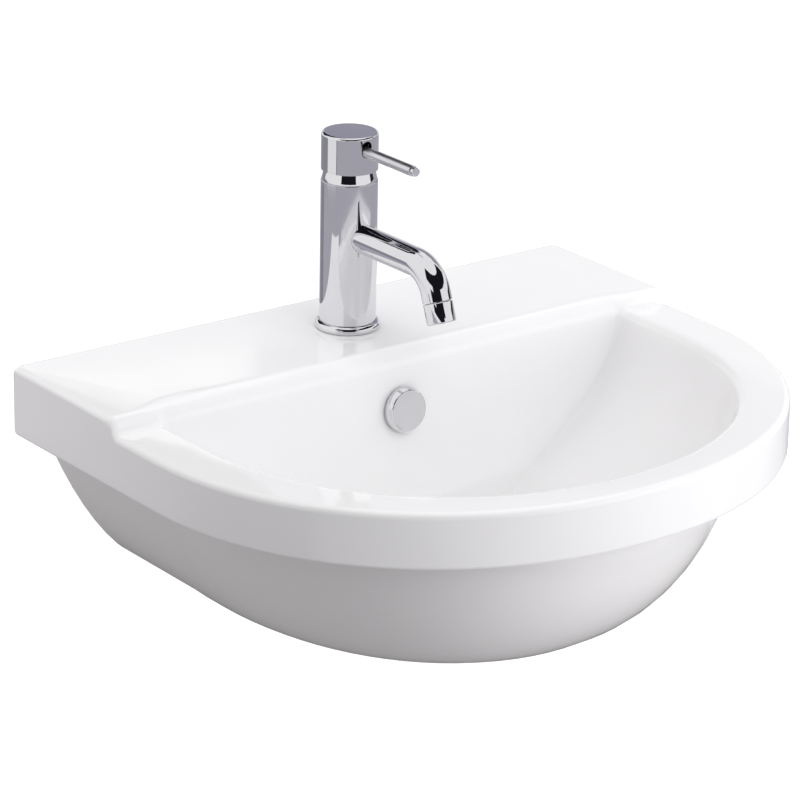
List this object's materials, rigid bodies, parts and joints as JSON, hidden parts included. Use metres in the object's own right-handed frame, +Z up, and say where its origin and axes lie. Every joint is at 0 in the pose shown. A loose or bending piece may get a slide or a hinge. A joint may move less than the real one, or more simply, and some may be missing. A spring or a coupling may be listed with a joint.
{
  "type": "wall-hung basin",
  "caption": "Wall-hung D-shaped china basin with a raised tap shelf, overflow cap, push-plug waste and a single-lever pin mixer tap with a bent tube spout.",
  "frame": {"origin": "midway between the two wall-fixing holes, in the plane of the wall face, 95 mm below the shelf top", "axes": "+X along the wall, +Y into the wall, +Z up"},
  "size_m": [0.5, 0.418, 0.3455],
  "materials": {
    "china": "white glaze",
    "chrome": "polished",
    "brass": "machined",
    "steel": "plain",
    "rubber": "matt",
    "plastic": "moulded",
    "alumina": "lapped"
  },
  "bodies": {
    "basin": {"basin": "china", "fixing_sleeves": "plastic", "overflow_cap": "chrome", "overflow_sleeve": "plastic", "overflow_seal": "rubber", "waste_body": "chrome", "waste_upper_seal": "rubber", "waste_lower_seal": "rubber", "waste_nut": "chrome", "click_housing": "brass", "click_spring": "steel", "tap_body": "chrome", "base_ring": "chrome", "base_gasket": "rubber", "spout": "chrome", "aerator_housing": "chrome", "aerator_insert": "plastic", "aerator_seal": "rubber", "mounting_stud": "steel", "rubber_horseshoe": "rubber", "metal_horseshoe": "steel", "stud_nut": "brass", "cartridge_housing": "plastic", "cartridge_seal": "rubber", "fixed_disc": "alumina", "cartridge_nut": "brass", "neck_ring": "chrome"},
    "handle": {"handle_cap": "chrome", "cap_grub_screw": "steel", "turret": "plastic", "pivot_pin": "steel"},
    "lever": {"cartridge_lever": "steel", "lever_hub": "steel", "lever_grub_screw": "steel", "pin_lever": "chrome", "lever_tip": "chrome"},
    "disc": {"moving_disc": "alumina"},
    "plug": {"plug_dome": "chrome", "plug_seal": "rubber", "click_stem": "steel"}
  },
  "joints": [
    {"name": "handle_turn", "type": "hinge", "parent": "basin", "child": "handle", "pos_m": [0, -0.066, 0.22], "axis": [0, 0, 1], "range_deg": [-45, 45]},
    {"name": "lever_lift", "type": "hinge", "parent": "handle", "child": "lever", "pos_m": [0, -0.066, 0.213], "axis": [-1, 0, 0], "range_deg": [0, 9]},
    {"name": "disc_slide", "type": "slide", "parent": "handle", "child": "disc", "axis": [0, -1, 0], "range_m": [0, 0.00275]},
    {"name": "plug_press", "type": "slide", "parent": "basin", "child": "plug", "axis": [0, 0, -1], "range_m": [0, 0.008], "stiffness_N_per_m": 1500, "springref_m": -0.004, "deforming": ["click_spring"]}
  ],
  "couplings": [
    {"joint": "disc_slide", "follows": "lever_lift", "m_per_rad": 0.0175}
  ]
}
